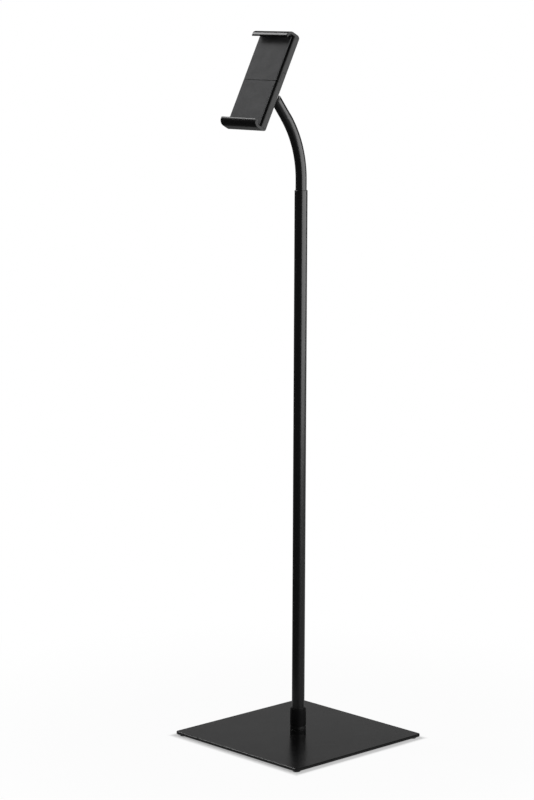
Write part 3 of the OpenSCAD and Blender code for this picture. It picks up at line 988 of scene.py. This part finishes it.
class STAND_OT_springs(bpy.types.Operator):
    """Two draw springs in the rail, made once at rest; the real ones stretch as the jaw opens"""

    bl_idname = "stand.springs"
    bl_label = "Jaw Springs"

    def execute(self, context):
        sizes = context.scene.stand_sizes
        lower = self.pin_centre("spring_anchor")
        upper = self.pin_centre("spring_pin")
        offset = span("jaw_springs", ACROSS)[1] - sizes.coil / 2
        path = self.path(sizes, lower, upper)
        wire_sides = 8
        points = []
        lines = []
        for side in (-1, 1):
            first = len(points)
            points += [CLAMP_SPACE @ (p + Vector((side * offset, 0, 0))) for p in path]
            lines += [(first + i, first + i + 1) for i in range(len(path) - 1)]
        wire_path = bpy.data.meshes.new("spring_path")
        wire_path.from_pydata(points, lines, [])
        springs = wire_tree().make(
            "jaw_springs_dressed",
            {"Wire Radius": sizes.wire / 2, "Wire Sides": wire_sides},
            finish("plated_steel"),
            start=wire_path,
        )
        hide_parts("jaw_springs")
        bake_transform(springs)
        return {"FINISHED"}

    def pin_centre(self, node):
        low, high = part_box(node)
        return CLAMP_SPACE.inverted() @ ((low + high) / 2)

    def path(self, sizes, lower, upper):
        """Points of one spring: lower hook, coil and upper hook."""
        hook_r = 1.95 * MM
        hook_sweep = math.radians(250)
        hook_steps = 16
        per_turn = 16
        coil_r = (sizes.coil - sizes.wire) / 2
        coil_low = lower.z + 2 * hook_r + sizes.wire
        coil_high = upper.z - 2 * hook_r - sizes.wire
        rings = sizes.turns * per_turn
        points = []
        for k in range(hook_steps + 1):
            a = -hook_sweep * (1 - k / hook_steps)
            points.append(Vector((0, lower.y + hook_r * math.sin(a), lower.z + hook_r * math.cos(a))))
        for k in range(rings + 1):
            a = math.pi / 2 + 2 * math.pi * k / per_turn
            z = coil_low + (coil_high - coil_low) * k / rings
            points.append(Vector((coil_r * math.cos(a), lower.y + coil_r * math.sin(a), z)))
        for k in range(hook_steps + 1):
            a = hook_sweep * k / hook_steps
            points.append(Vector((0, upper.y - hook_r * math.sin(a), upper.z - hook_r * math.cos(a))))
        return points


class STAND_OT_inner_parts(bpy.types.Operator):
    """Finishes for the hidden pieces whose CAD shape is kept"""

    bl_idname = "stand.inner_parts"
    bl_label = "Inner Parts"

    def execute(self, context):
        kept = {
            "plated_steel": ("pole_insert", "spring_anchor", "spring_pin"),
            "black_plastic": ("neck_stop", "slide_rail"),
        }
        for slot, nodes in kept.items():
            for node in nodes:
                data = frame["nodes"][node].data
                data.materials.clear()
                data.materials.append(finish(slot))
        return {"FINISHED"}


# Studio


def ray_kinds(graph):
    """Sockets that are 1 for rays that see the background, and for rays that mirror it."""
    path = graph.add("ShaderNodeLightPath", out=None)
    camera, through, mirror = (
        Value(graph, path.outputs[f"Is {kind} Ray"]) for kind in ("Camera", "Transmission", "Glossy")
    )
    return camera + through, mirror


def fading(graph, value, start, end):
    """A socket that falls smoothly from 1 to 0 as a value goes from start to end."""
    return graph.add(
        "ShaderNodeMapRange",
        {"interpolation_type": "SMOOTHSTEP"},
        {"Value": value, "From Min": start, "From Max": end, "To Min": 1.0, "To Max": 0.0},
    )


def mixed(graph, factor, first, second):
    """Mixes two shaders by a factor socket."""
    return graph.add("ShaderNodeMixShader", {}, {0: factor, 1: first, 2: second})


def glowing(graph, strength):
    return graph.add("ShaderNodeEmission", {}, {"Color": (1, 1, 1, 1), "Strength": strength})


class STAND_OT_stage(bpy.types.Operator):
    """Pale floor, white surround, soft lamps and the camera"""

    bl_idname = "stand.stage"
    bl_label = "Studio"

    def execute(self, context):
        stage = context.scene.stand_stage
        context.scene.view_settings.view_transform = "Standard"
        self.make_world(context.scene, stage)
        self.make_floor(stage)
        clamp_middle = (0, -0.16, 1.2)
        key = self.add_lamp(
            "key", stage.key, (-1.78, -0.93, 2.61), clamp_middle, width=0.6, height=0.6
        )
        key.visible_glossy = False
        sheen = self.add_lamp(
            "sheen", stage.sheen, (-1.85, -0.85, 2.55), clamp_middle, width=2.2, height=1.6
        )
        sheen.visible_diffuse = False
        self.keep_off(sheen, bpy.data.objects["pole_collar_dressed"])
        side = self.add_lamp(
            "side", stage.side, (2.4, 1.55, 1.15), (0, 1.55, 1.15), width=4.9, height=2.1
        )
        self.keep_off(side, bpy.data.objects["base_plate_dressed"])
        self.add_lamp("back", stage.back, (-2.6, 2.5, 0.9), (0, 0, 0.2), width=2.4, height=1.2)
        self.make_camera(context.scene)
        return {"FINISHED"}

    def make_world(self, scene, stage):
        world = bpy.data.worlds.new("white_surround")
        world.use_nodes = True
        scene.world = world
        graph = Graph(world.node_tree)
        background = next(node for node in world.node_tree.nodes if node.type == "BACKGROUND")
        seen, mirrored = ray_kinds(graph)
        strength = stage.ambient + seen * (1 - stage.ambient) + mirrored * (stage.mirrored - stage.ambient)
        background.inputs["Color"].default_value = (1, 1, 1, 1)
        graph.fill(background.inputs["Strength"], strength)

    def make_floor(self, stage):
        """A wide floor that the camera sees as white, apart from the shadow by the stand. Reflections see a
        painted glow in place of a lit floor, brighter by the plate and behind the stand.
        """
        floor_half = 60
        shadow_rim = (1 * MM, 12 * MM)
        shadow_reach = (0.25, 0.9)
        glow_rim = (50 * MM, 250 * MM)
        glow_reach = (-0.35, 0.1)
        glow_turn = 0.5
        material = bpy.data.materials.new("pale_floor")
        material.use_nodes = True
        material.node_tree.nodes.clear()
        graph = Graph(material.node_tree)
        coords = object_coords(graph)
        distance = graph.add("ShaderNodeVectorMath", {"operation": "LENGTH"}, {0: coords}, out="Value")
        parts = graph.add("ShaderNodeSeparateXYZ", {}, {0: coords}, out=None)
        across, along = (Value(graph, parts.outputs[axis]) for axis in ("X", "Y"))
        sides = [place.math("ABSOLUTE", place) for place in (across, along)]
        from_plate = sides[0].math("MAXIMUM", *sides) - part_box("base_plate")[1].x
        by_plate = fading(graph, from_plate, *shadow_rim)
        further = fading(graph, distance, *shadow_reach)
        shown = 1 - (stage.contact - stage.floor_shadow) * by_plate - stage.floor_shadow * further
        # Painted reflection: in reflections the floor is an emission glow, not lit, and glows more brightly
        # by the plate and behind the stand
        near = fading(graph, from_plate, *glow_rim)
        behind = 1 - fading(graph, along + across * glow_turn, *glow_reach)
        brighter_glow = near.math("MAXIMUM", near, behind)
        pale = (stage.floor, stage.floor, stage.floor, 1)
        matt = graph.add("ShaderNodeBsdfDiffuse", {}, {"Color": pale})
        glow = mixed(graph, brighter_glow, glowing(graph, stage.mirrored), glowing(graph, stage.mirrored_floor))
        seen, mirrored = ray_kinds(graph)
        matt_or_glow = mixed(graph, mirrored, matt, glow)
        surface = mixed(graph, seen * shown, matt_or_glow, glowing(graph, 1.0))
        graph.add("ShaderNodeOutputMaterial", {}, {"Surface": surface}, out=None)
        mesh = bmesh.new()
        bmesh.ops.create_grid(mesh, x_segments=1, y_segments=1, size=floor_half)
        floor = to_object("floor", mesh, material)

    def add_lamp(self, name, energy, place, target, width, height):
        """A soft box at a place, turned to its target."""
        lamp = bpy.data.lights.new(name, "AREA")
        lamp.shape = "RECTANGLE"
        lamp.size = width
        lamp.size_y = height
        lamp.energy = energy
        holder = bpy.data.objects.new(name + "_lamp", lamp)
        holder.location = place
        aim = Vector(target) - Vector(place)
        holder.rotation_euler = aim.to_track_quat("-Z", "Y").to_euler()
        bpy.context.scene.collection.objects.link(holder)
        return holder

    def keep_off(self, lamp, piece):
        """Keeps a lamp's light off one piece that would mirror it too brightly."""
        receivers = bpy.data.collections.new(lamp.name + "_receivers")
        receivers.objects.link(piece)
        receivers.collection_objects[0].light_linking.link_state = "EXCLUDE"
        lamp.light_linking.receiver_collection = receivers

    def make_camera(self, scene):
        """A long lens at the photograph's angle, worked out for an upright image of 534 by 800 pixels."""
        place = (3.069, -3.010, 1.286)
        turn = math.radians(46.31)
        pitch = math.radians(9.08)
        roll = math.radians(0.21)
        focal_pixels = 2530
        image_height = 800
        sensor = 36
        furthest = 200
        level_back = Vector((math.sin(turn), -math.cos(turn), 0))
        back = math.cos(pitch) * level_back + Vector((0, 0, math.sin(pitch)))
        right = Vector((math.cos(turn), math.sin(turn), 0))
        up = back.cross(right)
        rolled_right = math.cos(roll) * right + math.sin(roll) * up
        rolled_up = math.cos(roll) * up - math.sin(roll) * right
        data = bpy.data.cameras.new("camera")
        data.sensor_width = sensor
        data.lens = focal_pixels * sensor / image_height
        data.clip_end = furthest
        camera = bpy.data.objects.new("camera", data)
        turned = Matrix((rolled_right, rolled_up, back)).transposed().to_4x4()
        camera.matrix_world = Matrix.Translation(place) @ turned
        scene.collection.objects.link(camera)
        scene.camera = camera


PIECE_OPERATORS = (
    STAND_OT_base,
    STAND_OT_pole,
    STAND_OT_neck,
    STAND_OT_ball_joint,
    STAND_OT_shells,
    STAND_OT_pads,
    STAND_OT_screws,
    STAND_OT_springs,
    STAND_OT_inner_parts,
    STAND_OT_stage,
)


class STAND_PT_panel(bpy.types.Panel):
    """Lists the stand's pieces in the sidebar"""

    bl_label = "Tablet Floor Stand"
    bl_idname = "STAND_PT_panel"
    bl_space_type = "VIEW_3D"
    bl_region_type = "UI"
    bl_category = "Stand"

    def draw(self, context):
        for operator in PIECE_OPERATORS:
            self.layout.operator(operator.bl_idname)
        for group in ("stand_sizes", "stand_colours", "stand_stage"):
            box = self.layout.box()
            values = getattr(context.scene, group)
            for name in values.bl_rna.properties.keys():
                if name not in ("rna_type", "name"):
                    box.prop(values, name)


PROPERTY_GROUPS = {"stand_sizes": StandSizes, "stand_colours": StandColours, "stand_stage": StandStage}
CLASSES = (*PROPERTY_GROUPS.values(), *PIECE_OPERATORS, STAND_PT_panel)


def register():
    for item in CLASSES:
        bpy.utils.register_class(item)
    for name, group in PROPERTY_GROUPS.items():
        setattr(bpy.types.Scene, name, bpy.props.PointerProperty(type=group))


def unregister():
    for name in PROPERTY_GROUPS:
        delattr(bpy.types.Scene, name)
    for item in reversed(CLASSES):
        bpy.utils.unregister_class(item)


def main():
    register()
    for operator in PIECE_OPERATORS:
        category, name = operator.bl_idname.split(".")
        getattr(getattr(bpy.ops, category), name)()


if __name__ == "__main__":
    main()
